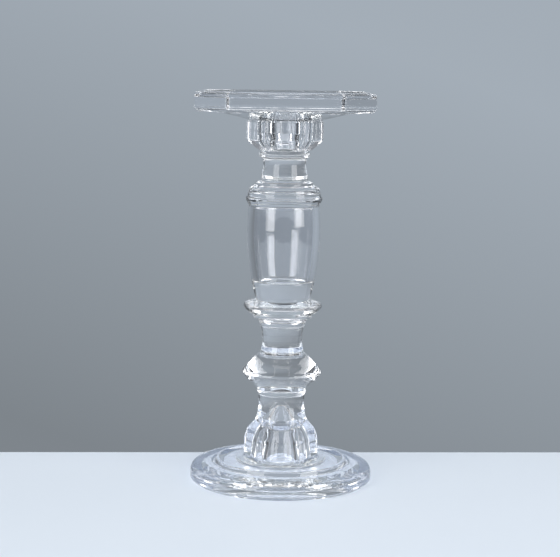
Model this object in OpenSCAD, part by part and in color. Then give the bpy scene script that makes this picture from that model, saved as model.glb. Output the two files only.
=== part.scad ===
// Pressed glass candlestick, built as a stack of clear glass pieces
// that are held face to face by thin films of clear adhesive.
// The origin is the centre of the foot's underside, and +Z runs up the stem.

/* [Plate] */
// Width across the flat sides of the square plate
plate_w = 113; // [100:1:140]
// How far each corner is cut back along its two sides
plate_corner_cut = 20; // [10:0.5:26]
// Height of the plate's upright edge
plate_edge_h = 12.4; // [9:0.1:16]
// Depth of the shallow tray in the top
tray_depth = 3.6; // [1:0.1:4]
// Width of the raised lip round the tray
lip_w = 5; // [3:0.1:9]
// How far the sloping underside drops from the edge to the cup
underside_drop = 5.8; // [3:0.1:8]
// Width of the flat margin outside the sloping underside
underside_margin = 10; // [6:0.5:16]
// Rounding of the plate's upper edge
plate_top_round = 2.2; // [1:0.1:3]
// Rounding of the plate's lower edge
plate_low_round = 3; // [1.5:0.1:4]

/* [Candle cup] */
// Size of the six-sided cup across its corners
cup_corner_d = 49.6; // [42:0.1:60]
// Height of the cup
cup_h = 19.05; // [16:0.1:26]
// Size across the corners of the cup's underside
cup_bottom_d = 35; // [32:0.1:40]
// Height of the sloping part under the cup's upright sides
cup_slope_h = 6.4; // [4:0.1:9]
// Diameter of the round socket in the cup
socket_d = 22.4; // [19:0.1:26]
// Height of the socket's straight part
socket_straight_h = 8; // [6:0.1:11]
// Diameter of the socket's floor
socket_floor_d = 18.8; // [14:0.1:21]
// Thickness of the glass under the socket's floor
socket_floor_t = 3.4; // [2:0.1:5]

/* [Upper neck] */
// Height of the upper neck
neck_h = 20; // [17:0.1:28]
// Diameter of the bead at the top of the neck
bead_d = 33.6; // [32:0.1:38]
// Height of the bead
bead_h = 4.4; // [3:0.1:5]
// Diameter of the neck's waist
neck_waist_d = 27.4; // [24:0.1:29]
// Diameter of the neck's round foot
neck_foot_d = 30.6; // [29.5:0.1:34]

/* [Stepped cap] */
// Height of the cap above the barrel's mouth
cap_h = 15.2; // [13:0.1:20]
// Diameter of the cap's top step
cap_top_d = 37.6; // [35:0.1:40]
// Diameter of the cap's lowest step
cap_shoulder_d = 47.6; // [44:0.1:48.6]
// Diameter of the cap's thin flange
cap_flange_d = 49.8; // [49:0.1:56]
// Thickness of the cap's flange
cap_flange_t = 2.2; // [1.5:0.1:3]
// Length of the plug that drops into the barrel's mouth
plug_h = 2.6; // [1.5:0.1:5]
// Gap all round between the plug and the barrel
plug_gap = 0.25; // [0.15:0.05:0.5]

/* [Barrel] */
// Height of the hollow barrel
barrel_h = 61.2; // [48:0.1:76]
// Diameter of the barrel at its widest
barrel_belly_d = 47.4; // [46.5:0.1:52]
// Diameter of the barrel at its mouth
barrel_top_d = 45.6; // [44:0.1:46.4]
// Diameter of the barrel at its foot
barrel_bottom_d = 35.2; // [33:0.1:38]
// Height of the widest point above the barrel's foot
barrel_belly_z = 45; // [36:0.5:47]
// Thickness of the barrel's wall
barrel_wall = 4.3; // [3:0.1:6]
// Thickness of the barrel's solid base
barrel_base_t = 11.8; // [8:0.1:16]

/* [Ring flange] */
// Height of the ring flange
flange_h = 17.4; // [14:0.1:22]
// Diameter of the ring flange at its tip
flange_d = 51.4; // [48:0.1:60]
// Height of the tip above the underside
flange_tip_z = 13.9; // [11.5:0.1:14]
// Diameter of the flange's lower step
flange_step_d = 32; // [30.5:0.1:36]

/* [Stem spool] */
// Height of the spool
spool_h = 18; // [14:0.1:24]
// Diameter of the spool at its top
spool_top_d = 28.2; // [27:0.1:30]
// Diameter of the spool's waist
spool_waist_d = 26.2; // [23:0.1:27]
// Diameter of the spool's foot
spool_foot_d = 29.4; // [28.5:0.1:32]

/* [Bicone knop] */
// Height of the knop
knop_h = 26.8; // [22:0.1:34]
// Diameter of the knop at its tip
knop_d = 51.8; // [46:0.1:60]
// Height of the tip above the knop's underside
knop_tip_z = 14.9; // [13:0.1:17]
// Diameter of the knop's top face
knop_top_d = 29.6; // [29:0.1:33]
// Diameter of the knop's underside
knop_bottom_d = 30.4; // [29:0.1:33]

/* [Base stem] */
// Height of the base stem from its flange to the knop
stem_h = 44.4; // [40:0.1:52]
// Diameter of the stem's waist
stem_waist_d = 29.6; // [26:0.1:29.8]
// Size of the six-sided knob across its corners
knob_corner_d = 48.8; // [44:0.1:54]
// Height of the knob's upright sides above the base flange
knob_side_h = 13; // [9:0.1:15]
// Height of the sloping part above the knob's sides
knob_slope_h = 16; // [14:0.1:18]
// Diameter of the round flange under the knob
stem_flange_d = 59; // [56:0.1:66]
// Thickness of that flange
stem_flange_t = 1.8; // [1.2:0.1:3]
// Diameter of the hollow in the base stem, at its mouth
hollow_d = 30; // [26:0.1:32]
// How far each side of the hollow leans in over its wide part
hollow_draft = 2.7; // [1:0.1:3]
// Height of that wide part inside the stem
hollow_h = 13.6; // [10:0.1:15]
// Diameter of the narrow part of the hollow
hollow_neck_d = 17; // [14:0.1:18]
// Height of the hollow's narrow part
hollow_neck_h = 8; // [5:0.1:9]
// Height of the cone at the top of the hollow
hollow_cone_h = 10; // [6:0.1:11]

/* [Foot] */
// Diameter of the foot
foot_d = 119.2; // [108:0.2:144]
// Height of the foot's edge, where its top begins
foot_edge_h = 10; // [8:0.1:11]
// Height of the flat seat under the base stem
foot_seat_h = 12.4; // [12:0.1:15]
// Diameter of the raised ring at its crest
foot_ring_d = 83.2; // [78:0.1:88]
// Width of the raised ring at its foot
foot_ring_w = 4; // [3:0.1:6]
// Height of the ring above the seat
foot_ring_h = 2; // [1:0.1:3]
// Depth of the shallow dish in the underside
foot_dish_h = 0.4; // [0.2:0.1:2]
// Width of the flat rim that the foot rests on
foot_rest_w = 7; // [4:0.1:12]

/* [Adhesive] */
// Thickness of each adhesive film
film_t = 0.15; // [0.1:0.05:0.3]
// How far a film stops short of the edge of the glass
film_inset = 0.6; // [0.3:0.1:1.2]

/* [Hidden] */
$fn = 96;

glass = [0.86, 0.90, 0.93, 0.45];
film = [0.94, 0.94, 0.90, 0.60];

// Points in each rounded corner of an outline
round_steps = 6;
// Points along each half of the barrel's side
side_steps = 10;
// Overlap that makes a cut run clean through
cut = 1;
// Flat of a hexagon as a share of its corner
flat_share = cos(30);

// Heights of the joints, from the table up
stem_z = foot_seat_h + film_t;
knop_z = stem_z + stem_h + film_t;
spool_z = knop_z + knop_h + film_t;
flange_z = spool_z + spool_h + film_t;
barrel_z = flange_z + flange_h + film_t;
cap_z = barrel_z + barrel_h + film_t;
neck_z = cap_z + cap_h + film_t;
cup_z = neck_z + neck_h + film_t;
plate_z = cup_z + cup_h + film_t;

// ---- outlines ----

function unit(v) = v / norm(v);

// Arc that rounds the corner b between a and c, limited to half of the shorter side
function corner(a, b, c, r) =
    r <= 0 ? [b] :
    let (
        u = unit(a - b),
        v = unit(c - b),
        half = acos(max(-1, min(1, u * v))) / 2,
        t = min(r / tan(half), 0.49 * min(norm(a - b), norm(c - b))),
        rr = t * tan(half),
        o = b + unit(u + v) * rr / sin(half),
        p = b + u * t - o,
        q = b + v * t - o,
        a0 = atan2(p[1], p[0]),
        turn = (atan2(q[1], q[0]) - a0 + 540) % 360 - 180
    )
    [for (i = [0:round_steps]) o + rr * [cos(a0 + turn * i / round_steps), sin(a0 + turn * i / round_steps)]];

function flat(p) = [p[0], p[1]];

// Outline of points [r, z, rounding], each corner rounded by its own radius
function rounded(pts) =
    let (n = len(pts))
    [for (i = [0:n - 1])
        each corner(flat(pts[(i + n - 1) % n]), flat(pts[i]), flat(pts[(i + 1) % n]), pts[i][2])];

function backwards(list) = [for (i = [len(list) - 1:-1:0]) list[i]];

// Radius of the barrel at height z above its foot: two arcs that meet upright at the belly
function arc_r(drop, rise) = (rise * rise + drop * drop) / (2 * drop);
function barrel_r(z) =
    let (
        end_d = z < barrel_belly_z ? barrel_bottom_d : barrel_top_d,
        rise = z < barrel_belly_z ? barrel_belly_z : barrel_h - barrel_belly_z,
        big = arc_r((barrel_belly_d - end_d) / 2, rise)
    )
    barrel_belly_d / 2 - big + sqrt(big * big - pow(z - barrel_belly_z, 2));

// Side of the barrel from height z0 to z1, set in by the given amount
function barrel_side(z0, z1, inset) =
    [for (i = [0:side_steps])
        let (z = z0 + (z1 - z0) * i / side_steps)
        [barrel_r(z) - inset, z]];

// ---- building blocks ----

// Round piece from an outline of [r, z, rounding]
module turned(pts) {
    rotate_extrude() polygon(rounded(pts));
}

// Bar along Y that has the outline on its right and the mirror image on its left
module bar(side, length) {
    rotate([90, 0, 0])
        linear_extrude(height = length, center = true)
            polygon(concat(side, backwards([for (p = side) [-p[0], p[1]]])));
}

// Six-sided piece: the outline gives the corner radius, and a flat side faces -Y
module six_sided(pts) {
    side = rounded([for (q = pts) [q[0] * flat_share, q[1], q[2]]]);
    reach = 2 * max([for (p = side) p[0]]) / flat_share;
    intersection_for (a = [30, 90, 150])
        rotate([0, 0, a])
            bar(side, reach);
}

// Square with cut corners, centred
module cut_square(w, leg) {
    h = w / 2;
    k = h - leg;
    polygon([[h, -k], [h, k], [k, h], [-k, h], [-h, k], [-h, -k], [-k, -h], [k, -h]]);
}

// Upright edge at the given reach, from height z0 to z1, its lower and upper corners rounded off
function soft_edge(reach, z0, z1) =
    rounded([
        [0, z0, 0],
        [reach - plate_low_round, z0, 2],
        [reach, z0 + plate_low_round / 2, plate_low_round],
        [reach, z1, plate_top_round],
        [0, z1, 0]
    ]);

// Square with cut corners from height z0 to z1, with soft edges
module soft_plate(half, leg, z0, z1) {
    slant = (2 * half - leg) / sqrt(2);
    intersection() {
        intersection_for (a = [0, 90])
            rotate([0, 0, a])
                bar(soft_edge(half, z0, z1), 2 * half);
        intersection_for (a = [45, 135])
            rotate([0, 0, a])
                bar(soft_edge(slant, z0, z1), 2 * half);
    }
}

// Adhesive film between two faces, open in the middle where the glass is
module film_disc(z, outer_d, inner_d) {
    color(film)
        translate([0, 0, z - film_t])
            difference() {
                cylinder(d = outer_d - 2 * film_inset, h = film_t);
                if (inner_d > 0)
                    translate([0, 0, -cut])
                        cylinder(d = inner_d + 2 * film_inset, h = film_t + 2 * cut);
            }
}

// ---- glass pieces, from the table up ----

module foot_disc() {
    edge_r = foot_d / 2;
    rest_r = edge_r - 2;
    ring_r = foot_ring_d / 2;
    ring_foot_z = foot_seat_h - 0.4;
    color(glass)
        turned([
            [0, foot_dish_h, 0],
            [(rest_r - foot_rest_w) * 0.55, foot_dish_h, 40],
            [rest_r - foot_rest_w, 0, 1],
            [rest_r, 0, 1.6],
            [edge_r, 1.8, 1.8],
            [edge_r, foot_edge_h, 5],
            [ring_r + foot_ring_w + 4, foot_edge_h + 1.8, 6],
            [ring_r + foot_ring_w, ring_foot_z, 0.5],
            [ring_r + foot_ring_w - 1.2, ring_foot_z - 0.6, 0.6],
            [ring_r + foot_ring_w / 2, ring_foot_z - 0.4, 0.6],
            [ring_r + foot_ring_w / 4, foot_seat_h + foot_ring_h, 1],
            [ring_r - foot_ring_w / 4, foot_seat_h + foot_ring_h, 1.2],
            [ring_r - foot_ring_w, foot_seat_h, 2],
            [0, foot_seat_h, 0]
        ]);
}

module base_stem() {
    top_r = knop_bottom_d / 2;
    knob_r = knob_corner_d / 2;
    side_z = stem_flange_t + knob_side_h;
    slope_z = side_z + knob_slope_h;
    neck_r = hollow_neck_d / 2;
    step_z = hollow_h + 6.8;
    cone_z = step_z + hollow_neck_h;
    color(glass)
        translate([0, 0, stem_z])
            difference() {
                union() {
                    // round flange and foot of the knob
                    turned([
                        [0, 0, 0],
                        [stem_flange_d / 2, 0, 0.4],
                        [stem_flange_d / 2, stem_flange_t, 0.8],
                        [knob_r + 0.6, stem_flange_t + 0.3, 1],
                        [knob_r - 2, stem_flange_t + 3, 0],
                        [0, stem_flange_t + 3, 0]
                    ]);
                    six_sided([
                        [0, 0.5, 0],
                        [knob_r, 0.5, 0],
                        [knob_r, side_z, 6],
                        [knob_r * 0.91, side_z + knob_slope_h * 0.42, 4],
                        [top_r - 2, slope_z, 0],
                        [0, slope_z, 0]
                    ]);
                    // round neck
                    turned([
                        [0, side_z, 0],
                        [top_r + 1.2, side_z, 0],
                        [top_r + 0.5, slope_z, 12],
                        [stem_waist_d / 2, slope_z + (stem_h - slope_z) * 0.55, 14],
                        [top_r, stem_h, 0],
                        [0, stem_h, 0]
                    ]);
                }
                // hollow left by the press tool, closed below by the foot
                turned([
                    [0, -cut, 0],
                    [hollow_d / 2, -cut, 0],
                    [hollow_d / 2, 0, 0],
                    [hollow_d / 2 - hollow_draft, hollow_h, 2.5],
                    [neck_r + 0.9, step_z - 0.6, 0.5],
                    [neck_r + 0.1, step_z, 0.5],
                    [neck_r - 0.2, cone_z - 0.9, 0.6],
                    [neck_r - 0.9, cone_z, 0.8],
                    [neck_r * 0.25, cone_z + hollow_cone_h - 0.7, 1.4],
                    [0, cone_z + hollow_cone_h, 0]
                ]);
            }
}

module bicone_knop() {
    tip_r = knop_d / 2;
    step_r = (knop_bottom_d + knop_d) / 4;
    step_z = knop_tip_z * 0.56;
    color(glass)
        translate([0, 0, knop_z])
            turned([
                [0, 0, 0],
                [knop_bottom_d / 2, 0, 0.3],
                [knop_bottom_d / 2 + 1, 3.2, 5],
                [step_r - 0.6, step_z, 0.8],
                [step_r + 0.9, step_z + 0.7, 0.6],
                [tip_r - 1.2, knop_tip_z - 2.4, 1.6],
                [tip_r, knop_tip_z - 0.6, 1],
                [tip_r - 0.4, knop_tip_z + 0.8, 1],
                [(tip_r + knop_top_d / 2) / 2 + 0.9, (knop_tip_z + knop_h) / 2 + 0.6, 12],
                [knop_top_d / 2, knop_h, 0.3],
                [0, knop_h, 0]
            ]);
}

module stem_spool() {
    color(glass)
        translate([0, 0, spool_z])
            turned([
                [0, 0, 0],
                [spool_foot_d / 2, 0, 0.6],
                [spool_foot_d / 2 - 0.5, 1.8, 1.6],
                [spool_waist_d / 2, 5.6, 6],
                [spool_waist_d / 2, spool_h * 0.66, 16],
                [spool_top_d / 2, spool_h, 0.3],
                [0, spool_h, 0]
            ]);
}

module ring_flange() {
    tip_r = flange_d / 2;
    foot_r = spool_top_d / 2 + 0.4;
    step_r = flange_step_d / 2;
    color(glass)
        translate([0, 0, flange_z])
            turned([
                [0, 0, 0],
                [foot_r, 0, 0.4],
                [foot_r + 0.6, 2.6, 0.4],
                [step_r - 0.4, 3.4, 0.6],
                [step_r + 0.4, 5.2, 0.5],
                [step_r + 3, 6, 0.8],
                [step_r + 4.2, 8, 1],
                [tip_r - 2, flange_tip_z - 3.4, 2],
                [tip_r, flange_tip_z - 1, 1.2],
                [tip_r - 0.6, flange_tip_z + 0.9, 1.2],
                [barrel_bottom_d / 2 + 1.2, flange_h - 0.4, 3],
                [barrel_bottom_d / 2 + 0.3, flange_h, 0],
                [0, flange_h, 0]
            ]);
}

module barrel() {
    floor_r = barrel_r(barrel_base_t) - barrel_wall;
    fillet = 3.4;
    color(glass)
        translate([0, 0, barrel_z])
            rotate_extrude()
                polygon(concat(
                    [[0, 0]],
                    barrel_side(0, barrel_belly_z, 0),
                    barrel_side(barrel_belly_z, barrel_h, 0),
                    barrel_side(barrel_h, barrel_belly_z, barrel_wall),
                    barrel_side(barrel_belly_z, barrel_base_t + fillet, barrel_wall),
                    corner(
                        [barrel_r(barrel_base_t + fillet) - barrel_wall, barrel_base_t + fillet],
                        [floor_r, barrel_base_t],
                        [0, barrel_base_t],
                        fillet
                    ),
                    [[0, barrel_base_t]]
                ));
}

module stepped_cap() {
    mouth_r = barrel_top_d / 2;
    plug_r = mouth_r - barrel_wall - plug_gap;
    flange_r = cap_flange_d / 2;
    shoulder_r = cap_shoulder_d / 2;
    top_r = cap_top_d / 2;
    flange_top_z = 3.1 + cap_flange_t;
    // each step is [radius, height of its foot, height of its top]
    steps = [
        [shoulder_r, flange_top_z + 0.6, cap_h - 7],
        [shoulder_r - 0.8, cap_h - 6.4, cap_h - 4.5],
        [top_r, cap_h - 2, cap_h - 0.5]
    ];
    color(glass)
        translate([0, 0, cap_z])
            turned([
                [0, -plug_h, 0],
                [plug_r, -plug_h, 0.6],
                [plug_r, 0, 0],
                [mouth_r + 0.1, 0, 0],
                [mouth_r + 0.5, 0.8, 1],
                [flange_r - 0.4, 3, 0.5],
                [flange_r, flange_top_z - 0.5, 0.5],
                for (s = steps) each [[s[0], s[1], 0.3], [s[0] - 0.2, s[2], 0.35]],
                [top_r - 1.6, cap_h, 0.6],
                [0, cap_h, 0]
            ]);
}

module upper_neck() {
    foot_r = neck_foot_d / 2;
    waist_r = neck_waist_d / 2;
    bead_z = neck_h - bead_h;
    color(glass)
        translate([0, 0, neck_z])
            turned([
                [0, 0, 0],
                [foot_r - 0.8, 0, 0],
                [foot_r, 0.8, 0.8],
                [foot_r - 0.2, 2.8, 1.4],
                [waist_r + 0.8, 6, 5],
                [waist_r, neck_h * 0.56, 8],
                [waist_r + 0.5, bead_z - 0.9, 0.5],
                [bead_d / 2 - 0.6, bead_z + 0.2, 0.9],
                [bead_d / 2, bead_z + bead_h * 0.45, 1.2],
                [bead_d / 2 - 1.6, neck_h, 0.4],
                [0, neck_h, 0]
            ]);
}

module candle_cup() {
    corner_r = cup_corner_d / 2;
    straight_z = cup_h - socket_straight_h;
    color(glass)
        translate([0, 0, cup_z])
            difference() {
                six_sided([
                    [0, 0, 0],
                    [cup_bottom_d / 2, 0, 0.6],
                    [corner_r, cup_slope_h, 3.4],
                    [corner_r, cup_h - 1, 1],
                    [corner_r - 1, cup_h, 0],
                    [0, cup_h, 0]
                ]);
                turned([
                    [0, socket_floor_t, 0],
                    [socket_floor_d / 2, socket_floor_t, 0.8],
                    [socket_d / 2, straight_z, 0],
                    [socket_d / 2, cup_h + cut, 0],
                    [0, cup_h + cut, 0]
                ]);
            }
}

module pillar_plate() {
    half = plate_w / 2;
    top_z = underside_drop + plate_edge_h;
    color(glass)
        translate([0, 0, plate_z])
            difference() {
                union() {
                    soft_plate(half, plate_corner_cut, underside_drop, top_z);
                    // cone that stands on the cup
                    turned([
                        [0, 0, 0],
                        [cup_corner_d / 2 - 0.6, 0, 0.4],
                        [half - underside_margin, underside_drop, 0],
                        [half - underside_margin, underside_drop + cut, 0],
                        [0, underside_drop + cut, 0]
                    ]);
                }
                translate([0, 0, top_z - tray_depth])
                    linear_extrude(height = tray_depth + cut)
                        cut_square(plate_w - 2 * lip_w, plate_corner_cut - lip_w * (2 - sqrt(2)));
            }
}

// ---- adhesive films, each named for the piece that it is laid on ----

module foot_film() { film_disc(stem_z, stem_flange_d, hollow_d); }
module stem_film() { film_disc(knop_z, knop_bottom_d, 0); }
module knop_film() { film_disc(spool_z, min(knop_top_d, spool_foot_d), 0); }
module spool_film() { film_disc(flange_z, spool_top_d, 0); }
module flange_film() { film_disc(barrel_z, barrel_bottom_d, 0); }
module barrel_film() { film_disc(cap_z, barrel_top_d, barrel_top_d - 2 * barrel_wall); }
module cap_film() { film_disc(neck_z, min(cap_top_d - 3.2, neck_foot_d - 1.6), 0); }
module neck_film() { film_disc(cup_z, min(bead_d - 3.2, cup_bottom_d * flat_share), 0); }
module cup_film() { film_disc(plate_z, (cup_corner_d - 2) * flat_share, socket_d); }

foot_disc();
foot_film();
base_stem();
stem_film();
bicone_knop();
knop_film();
stem_spool();
spool_film();
ring_flange();
flange_film();
barrel();
barrel_film();
stepped_cap();
cap_film();
upper_neck();
neck_film();
candle_cup();
cup_film();
pillar_plate();
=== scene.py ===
import math

import bpy
from mathutils import Matrix, Vector, noise


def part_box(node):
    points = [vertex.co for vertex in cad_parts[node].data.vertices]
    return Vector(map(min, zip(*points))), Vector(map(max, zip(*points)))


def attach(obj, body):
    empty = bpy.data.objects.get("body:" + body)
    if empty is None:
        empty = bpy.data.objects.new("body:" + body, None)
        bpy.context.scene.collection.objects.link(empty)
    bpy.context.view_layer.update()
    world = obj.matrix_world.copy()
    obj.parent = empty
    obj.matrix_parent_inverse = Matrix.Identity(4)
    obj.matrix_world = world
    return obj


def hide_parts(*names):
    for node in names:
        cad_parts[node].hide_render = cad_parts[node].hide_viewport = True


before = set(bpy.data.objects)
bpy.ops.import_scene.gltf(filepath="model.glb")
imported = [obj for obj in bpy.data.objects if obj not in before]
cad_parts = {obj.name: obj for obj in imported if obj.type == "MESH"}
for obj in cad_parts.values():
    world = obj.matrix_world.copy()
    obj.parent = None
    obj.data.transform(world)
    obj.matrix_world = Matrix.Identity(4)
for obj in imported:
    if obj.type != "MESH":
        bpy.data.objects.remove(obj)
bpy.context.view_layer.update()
mm = 0.001
print("frame loaded:", len(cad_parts), "nodes")

# how finely the meshes are cut
meshing = {
    "arcSteps": 8,        # points in a rounded corner
    "segments": 144,      # points round a turned piece
    "holdGap": 0.12,      # mm from a corner to the ring that holds it
    "longestStep": 3.0,   # mm between rings on a straight run
    "facetPoints": 14,    # points along each flat of a six-sided piece
    "facetRound": 0.055,  # softness of the upright edges, as a share of the flat's distance
    "poleReach": 1e-6,    # mm; a ring smaller than this is one point
}
bond = {
    "margin": 0.6,      # mm from a hollow's edge to the film round it
    "flatWithin": 0.02,  # mm that a bonded face may lie off its plane
    "slack": 0.05,      # mm of slack at the film's open middle
}


def roundCorner(before, at, after, radius):
    before, at, after = Vector(before), Vector(at), Vector(after)
    if radius <= 0:
        return [at]
    u = (before - at).normalized()
    v = (after - at).normalized()
    half = u.angle(v) / 2
    reach = min(radius / math.tan(half), 0.49 * min((before - at).length, (after - at).length))
    size = reach * math.tan(half)
    centre = at + (u + v).normalized() * size / math.sin(half)
    start = at + u * reach - centre
    stop = at + v * reach - centre
    turn = math.atan2(start.x * stop.y - start.y * stop.x, start.dot(stop))
    points = []
    for i in range(meshing["arcSteps"] + 1):
        a = turn * i / meshing["arcSteps"]
        points.append(centre + Vector((
            start.x * math.cos(a) - start.y * math.sin(a),
            start.x * math.sin(a) + start.y * math.cos(a),
        )))
    return points


def holdStraights(points):
    # extra rings close to both ends of each straight run
    # keep the shading true beside a tight corner
    out = []
    for a, b in zip(points, points[1:]):
        length = (b - a).length
        out.append(a)
        if length < 4 * meshing["holdGap"]:
            continue
        gap = meshing["holdGap"] / length
        inner = max(1, math.ceil((1 - 2 * gap) * length / meshing["longestStep"]))
        for k in range(inner + 1):
            out.append(a.lerp(b, gap + (1 - 2 * gap) * k / inner))
    out.append(points[-1])
    return out


def roundedOutline(points):
    # points are (radius, height, rounding) in mm
    out = [Vector(points[0][:2])]
    for before, (r, z, rounding), after in zip(points, points[1:], points[2:]):
        out += roundCorner(before[:2], (r, z), after[:2], rounding)
    out.append(Vector(points[-1][:2]))
    return holdStraights(out)


def loft(name, rings, closed=False):
    # skins rings of equal length; a ring of one point is a pole
    points = [p for ring in rings for p in ring]
    starts = [0]
    for ring in rings:
        starts.append(starts[-1] + len(ring))
    faces = []
    pairs = list(zip(range(len(rings) - 1), range(1, len(rings))))
    if closed:
        pairs.append((len(rings) - 1, 0))
    for low, high in pairs:
        around = max(len(rings[low]), len(rings[high]))
        for j in range(around):
            k = (j + 1) % around
            a, b = starts[low], starts[high]
            if len(rings[low]) == 1:
                faces.append((a, b + k, b + j))
            elif len(rings[high]) == 1:
                faces.append((a + j, a + k, b))
            else:
                faces.append((a + j, a + k, b + k, b + j))
    mesh = bpy.data.meshes.new(name)
    mesh.from_pydata([Vector(p) * mm for p in points], [], faces)
    mesh.validate()
    mesh.shade_smooth()
    mesh.set_sharp_from_angle(angle=math.radians(34))
    piece = bpy.data.objects.new(name, mesh)
    bpy.context.scene.collection.objects.link(piece)
    return piece


def roundRing(r, z):
    if r < meshing["poleReach"]:
        return [(0, 0, z)]
    count = meshing["segments"]
    return [
        (r * math.cos(2 * math.pi * i / count), r * math.sin(2 * math.pi * i / count), z)
        for i in range(count)
    ]


def turned(name, points, base):
    # round piece; base is the height that its outline starts from
    return loft(name, [roundRing(p.x, p.y + base) for p in roundedOutline(points)])


def sixAngles():
    # directions of the points round a six-sided ring, closer together at its softened edges
    cosHalf = math.cos(math.pi / 6)
    soft = meshing["facetRound"]
    edge = math.atan((1 - soft) / cosHalf * 0.5)
    angles = []
    for side in range(6):
        middle = math.radians(-90 + 60 * side)
        count = meshing["facetPoints"]
        for i in range(count + 1):
            angles.append((middle + edge * (2 * i / count - 1), edge * (2 * i / count - 1)))
        for i in range(1, meshing["arcSteps"]):
            off = edge + (math.pi / 3 - 2 * edge) * i / meshing["arcSteps"]
            angles.append((middle + off, off if off < math.pi / 6 else off - math.pi / 3))
    return angles


def sixReach(off, flat):
    # distance to a six-sided ring in the direction off from the middle of its nearest side
    soft = meshing["facetRound"] * flat
    cornerAt = (flat - soft) / math.cos(math.pi / 6)
    if abs(off) <= math.atan(cornerAt * 0.5 / flat) + 1e-9:
        return flat / math.cos(off)
    fromCorner = math.pi / 6 - abs(off)
    return cornerAt * math.cos(fromCorner) + math.sqrt(
        max(0, soft ** 2 - (cornerAt * math.sin(fromCorner)) ** 2))


def sixRing(r, z, six):
    # ring between a circle of radius r (six = 0) and a hexagon with corners at r (six = 1)
    if r < meshing["poleReach"]:
        return [(0, 0, z)]
    ring = []
    for angle, off in sixAngles():
        reach = r * (1 - six) + six * sixReach(off, r * math.cos(math.pi / 6))
        ring.append((reach * math.cos(angle), reach * math.sin(angle), z))
    return ring


def nearestShare(at, a, b):
    along = b - a
    return max(0, min(1, (at - a).dot(along) / along.length_squared))


def blended(points):
    # outline of (radius, height, rounding, section); the section changes evenly between two points
    spots = [Vector(p[:2]) for p in points]
    passed = 0.999
    out = []
    reached = 0
    for at in roundedOutline([p[:3] for p in points]):
        share = nearestShare(at, spots[reached], spots[reached + 1])
        while share >= passed and reached < len(spots) - 2:
            reached += 1
            share = nearestShare(at, spots[reached], spots[reached + 1])
        section = points[reached][3] * (1 - share) + points[reached + 1][3] * share
        out.append((at.x, at.y, section))
    return out


def sixLoft(name, points, base):
    return loft(name, [sixRing(r, z + base, six) for r, z, six in blended(points)])


def floorOf(node):
    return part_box(node)[0].z / mm


def filmReach(node):
    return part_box(node)[1].x / mm


def bondFaces(piece, plane, reach, inner=0):
    # faces that lie on the adhesive take the second material
    for face in piece.data.polygons:
        heights = [piece.data.vertices[v].co.z / mm for v in face.vertices]
        flat = all(abs(height - plane) < bond["flatWithin"] for height in heights)
        centre = Vector(face.center[:2]).length / mm
        if flat and inner - bond["slack"] < centre < reach + bond["flatWithin"]:
            face.material_index = 1


glassPieces = []
filmPieces = []


def addGlass(piece, node, bonds):
    # bonds are the joint planes of this piece: (height, reach of the film, open middle of the film)
    piece.data.materials.append(clearGlass)
    piece.data.materials.append(bondedFace)
    for plane, reach, inner in bonds:
        bondFaces(piece, plane, reach, inner)
    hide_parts(node)
    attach(piece, "root")
    glassPieces.append(piece)


film = {
    "skin": 0.01,     # mm left free above and below
    "wander": 0.012,  # how far the rim draws in, as a share of its reach
    "waver": 0.35,    # waves per mm round the rim
    "change": 90,     # how different one film's rim is from the next
}


def addFilm(node, inner=0):
    # cured adhesive between two glass faces: it fills the joint and its rim wanders a little
    low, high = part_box(node)
    reach = high.x / mm
    z0, z1 = low.z / mm + film["skin"], high.z / mm - film["skin"]
    profile = [(inner, z0), (reach, z0), (reach, z1), (inner, z1)]
    rings = []
    for r, z in profile:
        if r < meshing["poleReach"]:
            rings.append([(0, 0, z)])
            continue
        ring = []
        for x, y, h in roundRing(r, z):
            spot = Vector((x * film["waver"], y * film["waver"], low.z * film["change"]))
            draw = film["wander"] * (1 + noise.noise(spot))
            scale = 1 - draw if r == reach else 1
            ring.append((x * scale, y * scale, h))
        rings.append(ring)
    piece = loft(node.replace("_film", "_glue"), rings, closed=inner > 0)
    piece.data.materials.append(curedAdhesive)
    piece.data.materials.append(bondedFace)
    for face in piece.data.polygons:
        if abs(face.normal.z) > 0.9:
            face.material_index = 1
    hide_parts(node)
    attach(piece, "root")
    filmPieces.append(piece)


def newMaterial(name):
    material = bpy.data.materials.new(name)
    material.use_nodes = True
    material.node_tree.nodes.clear()
    return material, material.node_tree.nodes, material.node_tree.links


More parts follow.
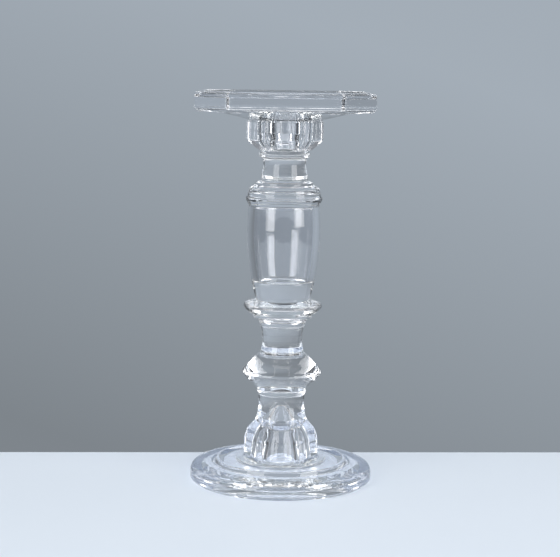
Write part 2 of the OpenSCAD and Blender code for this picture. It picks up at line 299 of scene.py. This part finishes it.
def makeFlowGroup():
    # slow waves and faint fine ripples that pressing and fire-polishing leave in a glass surface
    group = bpy.data.node_groups.new("PressedFlow", "ShaderNodeTree")
    face = group.interface
    wave = face.new_socket("Wave Size", in_out="INPUT", socket_type="NodeSocketFloat")
    wave.default_value = 90
    ripple = face.new_socket("Ripple Share", in_out="INPUT", socket_type="NodeSocketFloat")
    ripple.default_value = 0.12
    face.new_socket("Height", in_out="OUTPUT", socket_type="NodeSocketFloat")
    face.new_socket("Haze", in_out="OUTPUT", socket_type="NodeSocketFloat")
    nodes, links = group.nodes, group.links
    come = nodes.new("NodeGroupInput")
    go = nodes.new("NodeGroupOutput")
    place = nodes.new("ShaderNodeTexCoord")
    slow = nodes.new("ShaderNodeTexNoise")
    slow.inputs["Detail"].default_value = 1.5
    slow.inputs["Distortion"].default_value = 0.4
    fine = nodes.new("ShaderNodeTexNoise")
    fine.inputs["Scale"].default_value = 620
    fine.inputs["Detail"].default_value = 2
    mix = nodes.new("ShaderNodeMix")
    mix.data_type = "FLOAT"
    spots = nodes.new("ShaderNodeTexNoise")
    spots.inputs["Scale"].default_value = 210
    spots.inputs["Detail"].default_value = 6
    haze = nodes.new("ShaderNodeMapRange")
    haze.inputs["From Min"].default_value = 0.55
    haze.inputs["From Max"].default_value = 0.8
    haze.inputs["To Max"].default_value = 0.035
    links.new(place.outputs["Object"], slow.inputs["Vector"])
    links.new(place.outputs["Object"], fine.inputs["Vector"])
    links.new(place.outputs["Object"], spots.inputs["Vector"])
    links.new(come.outputs["Wave Size"], slow.inputs["Scale"])
    links.new(come.outputs["Ripple Share"], mix.inputs["Factor"])
    links.new(slow.outputs["Fac"], mix.inputs["A"])
    links.new(fine.outputs["Fac"], mix.inputs["B"])
    links.new(spots.outputs["Fac"], haze.inputs["Value"])
    links.new(mix.outputs["Result"], go.inputs["Height"])
    links.new(haze.outputs["Result"], go.inputs["Haze"])
    return group


flowGroup = makeFlowGroup()


glassLook = {
    "tint": (0.975, 0.98, 1, 1), "ior": 1.52,
    "waves": 95, "ripples": 0.05, "relief": 0.5, "reliefDepth": 0.0001,
    "shadow": (0.84, 0.85, 0.885, 1),
}


def makeClearGlass():
    look = glassLook
    material, nodes, links = newMaterial("ClearPressedGlass")
    out = nodes.new("ShaderNodeOutputMaterial")
    glass = nodes.new("ShaderNodeBsdfPrincipled")
    glass.inputs["Base Color"].default_value = look["tint"]
    glass.inputs["Transmission Weight"].default_value = 1
    glass.inputs["IOR"].default_value = look["ior"]
    flow = nodes.new("ShaderNodeGroup")
    flow.node_tree = flowGroup
    flow.inputs["Wave Size"].default_value = look["waves"]
    flow.inputs["Ripple Share"].default_value = look["ripples"]
    bump = nodes.new("ShaderNodeBump")
    bump.inputs["Strength"].default_value = look["relief"]
    bump.inputs["Distance"].default_value = look["reliefDepth"]
    links.new(flow.outputs["Height"], bump.inputs["Height"])
    links.new(flow.outputs["Haze"], glass.inputs["Roughness"])
    links.new(bump.outputs["Normal"], glass.inputs["Normal"])
    # light passes to the table without the noise of caustics
    path = nodes.new("ShaderNodeLightPath")
    passing = nodes.new("ShaderNodeBsdfTransparent")
    passing.inputs["Color"].default_value = look["shadow"]
    either = nodes.new("ShaderNodeMixShader")
    links.new(path.outputs["Is Shadow Ray"], either.inputs["Fac"])
    links.new(glass.outputs["BSDF"], either.inputs[1])
    links.new(passing.outputs["BSDF"], either.inputs[2])
    links.new(either.outputs["Shader"], out.inputs["Surface"])
    return material


def makeBondedFace():
    # glass against adhesive: light goes straight on, with only a few specks in the joint
    material, nodes, links = newMaterial("BondedFace")
    out = nodes.new("ShaderNodeOutputMaterial")
    clear = nodes.new("ShaderNodeBsdfTransparent")
    place = nodes.new("ShaderNodeTexCoord")
    specks = nodes.new("ShaderNodeTexVoronoi")
    specks.inputs["Scale"].default_value = 260
    dots = nodes.new("ShaderNodeMapRange")
    dots.inputs["From Min"].default_value = 0.05
    dots.inputs["From Max"].default_value = 0.16
    tint = nodes.new("ShaderNodeMix")
    tint.data_type = "RGBA"
    tint.inputs["A"].default_value = (0.86, 0.87, 0.88, 1)
    tint.inputs["B"].default_value = (0.99, 0.99, 0.985, 1)
    links.new(place.outputs["Object"], specks.inputs["Vector"])
    links.new(specks.outputs["Distance"], dots.inputs["Value"])
    links.new(dots.outputs["Result"], tint.inputs["Factor"])
    links.new(tint.outputs["Result"], clear.inputs["Color"])
    links.new(clear.outputs["BSDF"], out.inputs["Surface"])
    return material


adhesiveLook = {
    "tint": (0.97, 0.97, 0.96, 1), "ior": 1.49,
    "waves": 400, "ripples": 0.5, "reliefDepth": 0.0002,
    "smoothest": 0.08, "roughest": 0.3,
}


def makeCuredAdhesive():
    look = adhesiveLook
    material, nodes, links = newMaterial("CuredAdhesive")
    out = nodes.new("ShaderNodeOutputMaterial")
    glue = nodes.new("ShaderNodeBsdfPrincipled")
    glue.inputs["Base Color"].default_value = look["tint"]
    glue.inputs["Transmission Weight"].default_value = 1
    glue.inputs["IOR"].default_value = look["ior"]
    flow = nodes.new("ShaderNodeGroup")
    flow.node_tree = flowGroup
    flow.inputs["Wave Size"].default_value = look["waves"]
    flow.inputs["Ripple Share"].default_value = look["ripples"]
    rough = nodes.new("ShaderNodeMapRange")
    rough.inputs["To Min"].default_value = look["smoothest"]
    rough.inputs["To Max"].default_value = look["roughest"]
    bump = nodes.new("ShaderNodeBump")
    bump.inputs["Distance"].default_value = look["reliefDepth"]
    links.new(flow.outputs["Height"], rough.inputs["Value"])
    links.new(rough.outputs["Result"], glue.inputs["Roughness"])
    links.new(flow.outputs["Height"], bump.inputs["Height"])
    links.new(bump.outputs["Normal"], glue.inputs["Normal"])
    links.new(glue.outputs["BSDF"], out.inputs["Surface"])
    return material


clearGlass = makeClearGlass()
bondedFace = makeBondedFace()
curedAdhesive = makeCuredAdhesive()
print("materials ready")


foot = {
    "edge": 59.6, "edgeHeight": 10, "seat": 12.4,
    "ring": 41.6, "ringWidth": 4, "ringHeight": 2,
    "dish": 0.4, "rest": 7, "open": 15,
}


def buildFoot():
    f = foot
    rest = f["edge"] - 2
    ring, wide = f["ring"], f["ringWidth"]
    ringFoot = f["seat"] - 0.4
    bonded = filmReach("foot_film")
    inner = f["open"] + bond["margin"]
    outline = [
        (0, f["dish"], 0),
        ((rest - f["rest"]) * 0.55, f["dish"], 40),
        (rest - f["rest"], 0, 1),
        (rest, 0, 1.6),
        (f["edge"], 1.8, 1.8),
        (f["edge"], f["edgeHeight"], 5),
        (ring + wide + 4, f["edgeHeight"] + 1.8, 6),
        (ring + wide, ringFoot, 0.5),
        (ring + wide - 1.2, ringFoot - 0.6, 0.6),
        (ring + wide / 2, ringFoot - 0.4, 0.6),
        (ring + wide / 4, f["seat"] + f["ringHeight"], 1),
        (ring - wide / 4, f["seat"] + f["ringHeight"], 1.2),
        (ring - wide, f["seat"], 2),
        (bonded, f["seat"], 0),
        (inner, f["seat"], 0),
        (0, f["seat"], 0),
    ]
    piece = turned("foot", outline, 0)
    addGlass(piece, "foot_disc", [(f["seat"], bonded, inner)])


buildFoot()


stem = {
    "height": 44.4, "waist": 14.8, "top": 15.2,
    "knob": 24.4, "knobSide": 13, "knobSlope": 16,
    "flange": 29.5, "flangeThick": 1.8,
    "hollow": 15, "draft": 2.7, "hollowHeight": 13.6, "shoulder": 6.8,
    "hollowNeck": 8.5, "hollowNeckHeight": 8, "cone": 10,
}


def buildBaseStem():
    s = stem
    base = floorOf("base_stem")
    side = s["flangeThick"] + s["knobSide"]
    slope = side + s["knobSlope"]
    filmBelow = filmReach("foot_film")
    filmAbove = filmReach("stem_film")
    mouth = s["hollow"] + bond["margin"]
    # (radius, height, rounding, how six-sided)
    outer = [
        (s["hollow"], 0, 0, 0),
        (mouth, 0, 0, 0),
        (filmBelow, 0, 0, 0),
        (s["flange"], 0, 0.4, 0),
        (s["flange"], s["flangeThick"], 0.8, 0),
        (s["knob"] + 0.8, s["flangeThick"] + 0.3, 1, 0.6),
        (s["knob"], s["flangeThick"] + 2.2, 2, 1),
        (s["knob"], side, 6, 1),
        (s["knob"] * 0.91, side + s["knobSlope"] * 0.42, 6, 1),
        (s["top"] + 1.6, slope - 3.6, 6, 0.25),
        (s["top"] + 0.5, slope + 1, 8, 0),
        (s["waist"], slope + (s["height"] - slope) * 0.55, 14, 0),
        (s["top"], s["height"], 0.2, 0),
        (filmAbove, s["height"], 0, 0),
        (0, s["height"], 0, 0),
    ]
    step = s["hollowHeight"] + s["shoulder"]
    cone = step + s["hollowNeckHeight"]
    neck = s["hollowNeck"]
    inner = [
        (0, cone + s["cone"], 0, 0),
        (neck * 0.25, cone + s["cone"] - 0.7, 1.4, 0),
        (neck - 0.9, cone, 0.8, 0),
        (neck - 0.2, cone - 0.9, 0.6, 0),
        (neck + 0.1, step, 0.5, 0),
        (neck + 0.9, step - 0.6, 0.5, 0),
        (s["hollow"] - s["draft"], s["hollowHeight"], 2.5, 0),
    ]
    piece = sixLoft("baseStem", inner + outer, base)
    addGlass(piece, "base_stem", [
        (base, filmBelow, mouth),
        (base + s["height"], filmAbove, 0),
    ])


buildBaseStem()


knop = {"height": 26.8, "tip": 25.9, "tipHeight": 14.9, "top": 14.8, "bottom": 15.2}


def buildKnop():
    k = knop
    base = floorOf("bicone_knop")
    below, above = filmReach("stem_film"), filmReach("knop_film")
    step = (k["bottom"] + k["tip"]) / 2
    stepHeight = k["tipHeight"] * 0.56
    outline = [
        (0, 0, 0),
        (below, 0, 0),
        (k["bottom"], 0, 0.3),
        (k["bottom"] + 1, 3.2, 5),
        (step - 0.6, stepHeight, 0.8),
        (step + 0.9, stepHeight + 0.7, 0.6),
        (k["tip"] - 1.2, k["tipHeight"] - 2.4, 1.6),
        (k["tip"], k["tipHeight"] - 0.6, 1),
        (k["tip"] - 0.4, k["tipHeight"] + 0.8, 1),
        ((k["tip"] + k["top"]) / 2 + 0.9, (k["tipHeight"] + k["height"]) / 2 + 0.6, 12),
        (k["top"], k["height"], 0.3),
        (above, k["height"], 0),
        (0, k["height"], 0),
    ]
    piece = turned("biconeKnop", outline, base)
    addGlass(piece, "bicone_knop", [(base, below, 0), (base + k["height"], above, 0)])


buildKnop()


spool = {"height": 18, "top": 14.1, "waist": 13.1, "foot": 14.7}


def buildSpool():
    s = spool
    base = floorOf("stem_spool")
    below, above = filmReach("knop_film"), filmReach("spool_film")
    outline = [
        (0, 0, 0),
        (below, 0, 0),
        (s["foot"], 0, 0.6),
        (s["foot"] - 0.5, 1.8, 1.6),
        (s["waist"], 5.6, 6),
        (s["waist"], s["height"] * 0.66, 16),
        (s["top"], s["height"], 0.3),
        (above, s["height"], 0),
        (0, s["height"], 0),
    ]
    piece = turned("stemSpool", outline, base)
    addGlass(piece, "stem_spool", [(base, below, 0), (base + s["height"], above, 0)])


buildSpool()


flange = {"height": 17.4, "tip": 25.7, "tipHeight": 13.9, "step": 16, "foot": 14.5, "seat": 17.6}


def buildFlange():
    f = flange
    base = floorOf("ring_flange")
    below, above = filmReach("spool_film"), filmReach("flange_film")
    outline = [
        (0, 0, 0),
        (below, 0, 0),
        (f["foot"], 0, 0.4),
        (f["foot"] + 0.6, 2.6, 0.4),
        (f["step"] - 0.4, 3.4, 0.6),
        (f["step"] + 0.4, 5.2, 0.5),
        (f["step"] + 3, 6, 0.8),
        (f["step"] + 4.2, 8, 1),
        (f["tip"] - 2, f["tipHeight"] - 3.4, 2),
        (f["tip"], f["tipHeight"] - 1, 1.2),
        (f["tip"] - 0.6, f["tipHeight"] + 0.9, 1.2),
        (f["seat"] + 1.2, f["height"] - 0.4, 3),
        (f["seat"] + 0.3, f["height"], 0),
        (above, f["height"], 0),
        (0, f["height"], 0),
    ]
    piece = turned("ringFlange", outline, base)
    addGlass(piece, "ring_flange", [(base, below, 0), (base + f["height"], above, 0)])


buildFlange()


barrel = {
    "height": 61.2, "belly": 23.7, "bellyHeight": 45, "top": 22.8, "bottom": 17.6,
    "wall": 4.3, "base": 11.8, "fillet": 3.4, "steps": 22,
}


def barrelReach(z):
    # two arcs that meet upright at the belly
    b = barrel
    low = z < b["bellyHeight"]
    drop = b["belly"] - (b["bottom"] if low else b["top"])
    rise = b["bellyHeight"] if low else b["height"] - b["bellyHeight"]
    big = (rise ** 2 + drop ** 2) / (2 * drop)
    return b["belly"] - big + math.sqrt(big ** 2 - (z - b["bellyHeight"]) ** 2)


def buildBarrel():
    b = barrel
    base = floorOf("barrel")
    below, ringReach = filmReach("flange_film"), filmReach("barrel_film")
    inset = b["wall"]
    mouth = b["top"] - inset
    count = b["steps"]

    def side(z0, z1, inward):
        return [
            Vector((barrelReach(z) - inward, z))
            for z in (z0 + (z1 - z0) * i / count for i in range(count + 1))
        ]

    floorTurn = b["base"] + b["fillet"]
    points = [Vector((0, 0)), Vector((below, 0))]
    points += roundCorner((below, 0), (b["bottom"], 0), (barrelReach(2), 2), 0.3)
    points += side(1, b["bellyHeight"], 0)
    points += side(b["bellyHeight"], b["height"] - 0.8, 0)[1:]
    rimStart = b["height"] - 0.8
    points += roundCorner(
        (barrelReach(rimStart), rimStart), (b["top"], b["height"]), (mouth, b["height"]), 0.35)
    inner = mouth + bond["margin"]
    points += [Vector((ringReach, b["height"])), Vector((inner, b["height"]))]
    points += roundCorner(
        (b["top"], b["height"]), (mouth, b["height"]), (mouth, b["height"] - 2), 0.3)
    points += side(b["height"] - 1, b["bellyHeight"], inset)
    points += side(b["bellyHeight"], floorTurn, inset)[1:]
    points += roundCorner(
        (barrelReach(floorTurn) - inset, floorTurn),
        (barrelReach(b["base"]) - inset, b["base"]), (0, b["base"]), b["fillet"])[1:]
    points += [Vector((0, b["base"]))]
    rings = [roundRing(p.x, p.y + base) for p in holdStraights(points)]
    piece = loft("barrelShell", rings)
    addGlass(piece, "barrel", [
        (base, below, 0),
        (base + b["height"], ringReach, inner),
    ])


buildBarrel()


cap = {
    "height": 15.2, "top": 18.8, "flange": 24.9, "flangeThick": 2.2,
    "steps": [(23.8, 5.9, 8.2), (23, 8.8, 10.7), (18.8, 13.2, 14.7)],
    "plug": 18.25, "plugGap": 0.25, "plugDepth": 2.6, "mouth": 22.8, "flangeFoot": 3.1,
}


def buildCap():
    c = cap
    base = floorOf("stepped_cap") + c["plugDepth"]
    inner = c["plug"] + c["plugGap"] + bond["margin"]
    ringReach, above = filmReach("barrel_film"), filmReach("cap_film")
    flangeTop = c["flangeFoot"] + c["flangeThick"]
    outline = [
        (0, -c["plugDepth"], 0),
        (c["plug"], -c["plugDepth"], 0.6),
        (c["plug"], 0, 0),
        (inner, 0, 0),
        (ringReach, 0, 0),
        (c["mouth"] + 0.1, 0, 0),
        (c["mouth"] + 0.5, 0.8, 1),
        (c["flange"] - 0.4, 3, 0.5),
        (c["flange"], flangeTop - 0.5, 0.5),
    ]
    for r, low, high in c["steps"]:
        outline += [(r, low, 0.3), (r - 0.2, high, 0.35)]
    outline += [
        (c["top"] - 1.6, c["height"], 0.6),
        (above, c["height"], 0),
        (0, c["height"], 0),
    ]
    piece = turned("steppedCap", outline, base)
    addGlass(piece, "stepped_cap", [(base, ringReach, inner), (base + c["height"], above, 0)])


buildCap()


neck = {"height": 20, "bead": 16.8, "beadHeight": 4.4, "waist": 13.7, "foot": 15.3}


def buildNeck():
    n = neck
    base = floorOf("upper_neck")
    below, above = filmReach("cap_film"), filmReach("neck_film")
    beadFoot = n["height"] - n["beadHeight"]
    outline = [
        (0, 0, 0),
        (below, 0, 0),
        (n["foot"] - 0.8, 0, 0),
        (n["foot"], 0.8, 0.8),
        (n["foot"] - 0.2, 2.8, 1.4),
        (n["waist"] + 0.8, 6, 5),
        (n["waist"], n["height"] * 0.56, 8),
        (n["waist"] + 0.5, beadFoot - 0.9, 0.5),
        (n["bead"] - 0.6, beadFoot + 0.2, 0.9),
        (n["bead"], beadFoot + n["beadHeight"] * 0.45, 1.2),
        (n["bead"] - 1.6, n["height"], 0.4),
        (above, n["height"], 0),
        (0, n["height"], 0),
    ]
    piece = turned("upperNeck", outline, base)
    addGlass(piece, "upper_neck", [(base, below, 0), (base + n["height"], above, 0)])


buildNeck()


cup = {
    "corner": 24.8, "height": 19.05, "bottom": 17.5, "slope": 6.4,
    "socket": 11.2, "straight": 8, "socketFloor": 9.4, "floorThick": 3.4,
}


def buildCup():
    c = cup
    base = floorOf("candle_cup")
    below, above = filmReach("neck_film"), filmReach("cup_film")
    inner = c["socket"] + bond["margin"]
    points = [
        (0, 0, 0, 0),
        (below, 0, 0, 0),
        (c["bottom"], 0, 0.6, 1),
        (c["corner"], c["slope"], 3.4, 1),
        (c["corner"], c["height"] - 1, 1, 1),
        (c["corner"] - 1, c["height"], 0, 1),
        (above, c["height"], 0, 0),
        (inner, c["height"], 0, 0),
        (c["socket"], c["height"], 0.3, 0),
        (c["socket"], c["height"] - c["straight"], 0, 0),
        (c["socketFloor"], c["floorThick"], 0.8, 0),
        (0, c["floorThick"], 0, 0),
    ]
    piece = sixLoft("candleCup", points, base)
    addGlass(piece, "candle_cup", [(base, below, 0), (base + c["height"], above, inner)])


buildCup()


plate = {
    "width": 113, "cut": 20, "edge": 12.4, "tray": 3.6, "lip": 5, "drop": 5.8,
    "seat": 24.2, "margin": 10, "soft": 1.4, "lowRound": 3, "topRound": 2.2,
    "arc": 5, "sideSteps": 12, "cutSteps": 14,
    "circle": 30,  # reach at which the tray's rings are fully round
}


def cutSquareRing(inset, z):
    # square with cut and softened corners, drawn in by inset
    p = plate
    half = p["width"] / 2 - inset
    leg = p["cut"] - inset * (2 - math.sqrt(2))
    k = half - leg
    corners = [Vector(c) for c in (
        (half, -k), (half, k), (k, half), (-k, half),
        (-half, k), (-half, -k), (-k, -half), (k, -half))]
    soft = p["soft"]
    ring = []
    for i, at in enumerate(corners):
        u = (corners[i - 1] - at).normalized()
        following = corners[(i + 1) % len(corners)]
        v = (following - at).normalized()
        angle = u.angle(v) / 2
        reach = soft / math.tan(angle)
        centre = at + (u + v).normalized() * soft / math.sin(angle)
        start = at + u * reach - centre
        turn = math.pi - 2 * angle
        for s in range(p["arc"] + 1):
            a = turn * s / p["arc"]
            ring.append(centre + Vector((
                start.x * math.cos(a) - start.y * math.sin(a),
                start.x * math.sin(a) + start.y * math.cos(a))))
        a0 = at + v * reach
        a1 = following - v * reach
        steps = p["cutSteps"] if i % 2 else p["sideSteps"]
        for s in range(1, steps):
            t = s / steps
            t = 0.5 - 0.5 * math.cos(math.pi * t) if s in (1, steps - 1) else t
            ring.append(a0.lerp(a1, t))
    return [(q.x, q.y, z) for q in ring]


def plateRing(r, z, square):
    # ring between a circle of radius r (square = 0) and the plate's edge drawn in to r (square = 1)
    if r < meshing["poleReach"]:
        return [(0, 0, z)]
    ring = []
    inset = plate["width"] / 2 - max(r, plate["circle"])
    for x, y, h in cutSquareRing(max(0, inset), z):
        circle = r / math.hypot(x, y) * (1 - square)
        ring.append((x * (square + circle), y * (square + circle), h))
    return ring


def buildPlate():
    p = plate
    base = floorOf("pillar_plate")
    bonded = filmReach("cup_film")
    half = p["width"] / 2
    top = p["drop"] + p["edge"]
    floor = top - p["tray"]
    inner = cup["socket"] + bond["margin"]
    lip = half - p["lip"]
    # (radius or half width, height, rounding, how square)
    points = [
        (0, 0, 0, 0),
        (inner, 0, 0, 0),
        (bonded, 0, 0, 0),
        (p["seat"], 0, 0.4, 0),
        (half - p["margin"], p["drop"], 0.3, 0),
        (half - p["lowRound"], p["drop"], 2, 1),
        (half, p["drop"] + p["lowRound"] / 2, p["lowRound"], 1),
        (half, top, p["topRound"], 1),
        (lip + 0.6, top, 0.8, 1),
        (lip - 0.2, floor, 1, 1),
        (lip - 10, floor, 0, 0.5),
        (p["circle"], floor, 0, 0),
        (0, floor, 0, 0),
    ]
    rings = [plateRing(r, z + base, square) for r, z, square in blended(points)]
    addGlass(loft("pillarPlate", rings), "pillar_plate", [(base, bonded, inner)])


buildPlate()


# films that are rings, and how wide their middle is
openMiddle = {
    "foot_film": stem["hollow"] + bond["margin"],
    "barrel_film": barrel["top"] - barrel["wall"] + bond["margin"],
    "cup_film": cup["socket"] + bond["margin"],
}
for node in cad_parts:
    if node.endswith("_film"):
        addFilm(node, openMiddle.get(node, 0))
print("pieces built:", len(glassPieces), "glass and", len(filmPieces), "adhesive")


studio = {
    "tableBack": 0.07, "tableFront": -0.9, "tableHalf": 0.9,
    "tableSkew": 0.056, "tableShade": (0.70, 0.765, 0.835, 1), "tableLight": (0.73, 0.79, 0.86, 1),
    "backdropAt": 1.5, "backdropHalf": 2.9, "backdropHeight": 1.8,
    "backdropTilt": 0.35, "backdropFrom": -0.45, "backdropTo": 0.35,
    # the backdrop glows by itself; these two colours are its painted shade and painted light
    "backdropShade": (0.21, 0.235, 0.26, 1), "backdropLight": (0.37, 0.42, 0.475, 1),
    "walls": (0.045, 0.048, 0.053, 1), "ceiling": (0.3, 0.31, 0.33, 1),
}


def flatPiece(name, corners):
    mesh = bpy.data.meshes.new(name)
    mesh.from_pydata(corners, [], [(0, 1, 2, 3)])
    piece = bpy.data.objects.new(name, mesh)
    bpy.context.scene.collection.objects.link(piece)
    return piece


def makeTable():
    s = studio
    w = s["tableHalf"]
    piece = flatPiece("table", [
        (-w, s["tableFront"], 0), (w, s["tableFront"], 0),
        (w, s["tableBack"] + w * s["tableSkew"], 0), (-w, s["tableBack"] - w * s["tableSkew"], 0)])
    material, nodes, links = newMaterial("PaleTable")
    out = nodes.new("ShaderNodeOutputMaterial")
    paint = nodes.new("ShaderNodeBsdfPrincipled")
    place = nodes.new("ShaderNodeTexCoord")
    cloud = nodes.new("ShaderNodeTexNoise")
    cloud.inputs["Scale"].default_value = 7
    cloud.inputs["Detail"].default_value = 5
    tone = nodes.new("ShaderNodeMix")
    tone.data_type = "RGBA"
    tone.inputs["A"].default_value = s["tableShade"]
    tone.inputs["B"].default_value = s["tableLight"]
    sheen = nodes.new("ShaderNodeMapRange")
    sheen.inputs["To Min"].default_value = 0.4
    sheen.inputs["To Max"].default_value = 0.5
    paint.inputs["Specular IOR Level"].default_value = 0.35
    links.new(place.outputs["Object"], cloud.inputs["Vector"])
    links.new(cloud.outputs["Fac"], tone.inputs["Factor"])
    links.new(cloud.outputs["Fac"], sheen.inputs["Value"])
    links.new(tone.outputs["Result"], paint.inputs["Base Color"])
    links.new(sheen.outputs["Result"], paint.inputs["Roughness"])
    links.new(paint.outputs["BSDF"], out.inputs["Surface"])
    piece.data.materials.append(material)


# painted light: the backdrop glows by itself instead of being lit, with painted shade towards the
# bottom left and painted light towards the top right
def makeBackdrop():
    s = studio
    w, h, y = s["backdropHalf"], s["backdropHeight"], s["backdropAt"]
    piece = flatPiece("backdrop", [(-w, y, -h), (w, y, -h), (w, y, h), (-w, y, h)])
    material, nodes, links = newMaterial("GreyBackdrop")
    out = nodes.new("ShaderNodeOutputMaterial")
    place = nodes.new("ShaderNodeTexCoord")
    split = nodes.new("ShaderNodeSeparateXYZ")
    tilt = nodes.new("ShaderNodeMath")
    tilt.operation = "MULTIPLY_ADD"
    tilt.inputs[1].default_value = s["backdropTilt"]
    rise = nodes.new("ShaderNodeMapRange")
    rise.inputs["From Min"].default_value = s["backdropFrom"]
    rise.inputs["From Max"].default_value = s["backdropTo"]
    ramp = nodes.new("ShaderNodeMix")
    ramp.data_type = "RGBA"
    ramp.inputs["A"].default_value = s["backdropShade"]
    ramp.inputs["B"].default_value = s["backdropLight"]
    glow = nodes.new("ShaderNodeEmission")
    links.new(place.outputs["Object"], split.inputs["Vector"])
    links.new(split.outputs["X"], tilt.inputs[0])
    links.new(split.outputs["Z"], tilt.inputs[2])
    links.new(tilt.outputs["Value"], rise.inputs["Value"])
    links.new(rise.outputs["Result"], ramp.inputs["Factor"])
    links.new(ramp.outputs["Result"], glow.inputs["Color"])
    links.new(glow.outputs["Emission"], out.inputs["Surface"])
    piece.data.materials.append(material)


# azimuth is measured from the camera's side, positive to the right; power is in watts
lights = {
    "leftSoftbox": {
        "azimuth": -45, "distance": 2.0, "height": 1.0, "width": 1.15, "tall": 2.3,
        "power": 35, "aim": 0.12,
    },
    "rightSoftbox": {
        "azimuth": 52, "distance": 2.0, "height": 1.0, "width": 1.2, "tall": 2.1,
        "power": 40, "aim": 0.12,
    },
    "overhead": {
        "azimuth": 0, "distance": 0.2, "height": 1.5, "width": 1.0, "tall": 1.0,
        "power": 5, "aim": 0,
    },
}


def softbox(name, azimuth, distance, height, width, tall, power, aim):
    a = math.radians(azimuth)
    light = bpy.data.lights.new(name, "AREA")
    light.shape = "RECTANGLE"
    light.size = width
    light.size_y = tall
    light.energy = power
    lamp = bpy.data.objects.new(name, light)
    lamp.location = (distance * math.sin(a), -distance * math.cos(a), height)
    toward = Vector((0, 0, aim)) - lamp.location
    lamp.rotation_euler = toward.to_track_quat("-Z", "Y").to_euler()
    bpy.context.scene.collection.objects.link(lamp)


def makeWorld():
    # a dim room that grows lighter towards its ceiling
    world = bpy.data.worlds.new("studio")
    world.use_nodes = True
    nodes, links = world.node_tree.nodes, world.node_tree.links
    place = nodes.new("ShaderNodeTexCoord")
    split = nodes.new("ShaderNodeSeparateXYZ")
    rise = nodes.new("ShaderNodeMapRange")
    rise.inputs["From Min"].default_value = -0.1
    rise.inputs["From Max"].default_value = 0.8
    shade = nodes.new("ShaderNodeMix")
    shade.data_type = "RGBA"
    shade.inputs["A"].default_value = studio["walls"]
    shade.inputs["B"].default_value = studio["ceiling"]
    links.new(place.outputs["Generated"], split.inputs["Vector"])
    links.new(split.outputs["Z"], rise.inputs["Value"])
    links.new(rise.outputs["Result"], shade.inputs["Factor"])
    links.new(shade.outputs["Result"], nodes["Background"].inputs["Color"])
    bpy.context.scene.world = world


makeTable()
makeBackdrop()
makeWorld()
for name, values in lights.items():
    softbox(name, **values)
print("studio lit")


camera = {
    "lens": 102.9, "sensor": 36, "distance": 1.033, "height": 0.271,
    "pitch": 7.61, "roll": 0.8, "aside": -0.002,
}


def makeCamera():
    c = camera
    data = bpy.data.cameras.new("camera")
    data.lens = c["lens"]
    data.sensor_width = c["sensor"]
    cam = bpy.data.objects.new("camera", data)
    cam.location = (c["aside"], -c["distance"], c["height"])
    nod = Matrix.Rotation(math.radians(90 - c["pitch"]), 3, "X")
    roll = Matrix.Rotation(math.radians(c["roll"]), 3, "Z")
    cam.rotation_euler = (nod @ roll).to_euler()
    bpy.context.scene.collection.objects.link(cam)
    bpy.context.scene.camera = cam


makeCamera()

scene = bpy.context.scene
scene.view_settings.view_transform = "Standard"
scene.cycles.max_bounces = 40
scene.cycles.transmission_bounces = 40
scene.cycles.glossy_bounces = 12
scene.cycles.transparent_max_bounces = 48

print("scene ready")
